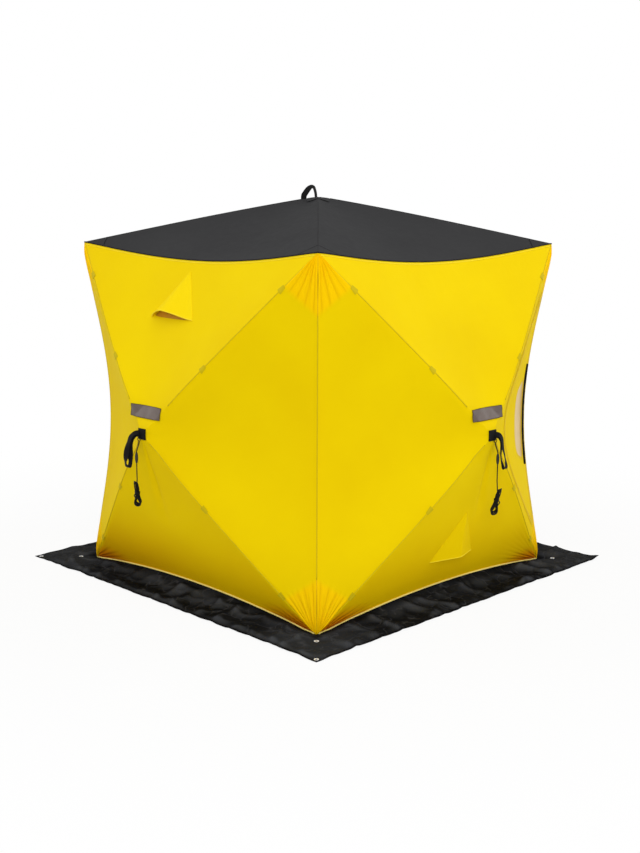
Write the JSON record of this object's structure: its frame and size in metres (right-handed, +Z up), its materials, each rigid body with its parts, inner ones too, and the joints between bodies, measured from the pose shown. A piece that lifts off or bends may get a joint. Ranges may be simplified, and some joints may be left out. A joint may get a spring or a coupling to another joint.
{
  "type": "ice fishing hut",
  "caption": "Pop-up cube ice fishing shelter: tensioned cloth walls pushed out by centre hubs, grey hub roof, hooded vents, zipped door with window, snow skirt with eyelets and guy ropes.",
  "frame": {"origin": "middle of the square footprint, on the ice", "axes": "+Z up; the front wall with the high vent faces -Y and the wall with the door faces +X"},
  "size_m": [2.1352, 2.1352, 1.7705],
  "materials": {
    "yellow_cloth": "coated oxford weave",
    "grey_cloth": "coated oxford weave",
    "skirt_cloth": "coated oxford weave",
    "webbing": "woven webbing",
    "film": "clear soft film",
    "zip": "coil zip on woven tape",
    "rod": "pultruded glass fibre",
    "hub_plastic": "moulded",
    "eyelet_metal": "pressed and plated",
    "reflector": "retroreflective tape",
    "mesh": "insect mesh",
    "rope": "braided cord",
    "slider_plastic": "moulded"
  },
  "bodies": {
    "root": {"front_wall": "yellow_cloth", "right_wall": "yellow_cloth", "back_wall": "yellow_cloth", "left_wall": "yellow_cloth", "roof_panels": "grey_cloth", "door_flap": "yellow_cloth", "door_window": "film", "door_zip": "zip", "window_blind": "skirt_cloth", "front_wall_poles": "rod", "right_wall_poles": "rod", "back_wall_poles": "rod", "left_wall_poles": "rod", "roof_poles": "rod", "front_wall_hub": "hub_plastic", "right_wall_hub": "hub_plastic", "back_wall_hub": "hub_plastic", "left_wall_hub": "hub_plastic", "roof_hub": "hub_plastic", "top_corner_knuckles": "hub_plastic", "base_corner_knuckles": "hub_plastic", "skirt_rise": "skirt_cloth", "snow_skirt": "skirt_cloth", "skirt_eyelets": "eyelet_metal", "wall_hub_patches": "webbing", "roof_hub_patch": "webbing", "wall_pull_straps": "webbing", "roof_pull_loop": "webbing", "reflective_strips": "reflector", "upper_vent_hood": "yellow_cloth", "upper_vent_mesh": "mesh", "lower_vent_hood": "yellow_cloth", "lower_vent_mesh": "mesh", "guy_rings": "eyelet_metal", "front_guy_rope": "rope", "front_guy_slider": "slider_plastic", "front_guy_hank": "rope", "right_guy_rope": "rope", "right_guy_slider": "slider_plastic", "right_guy_hank": "rope"}
  },
  "joints": []
}
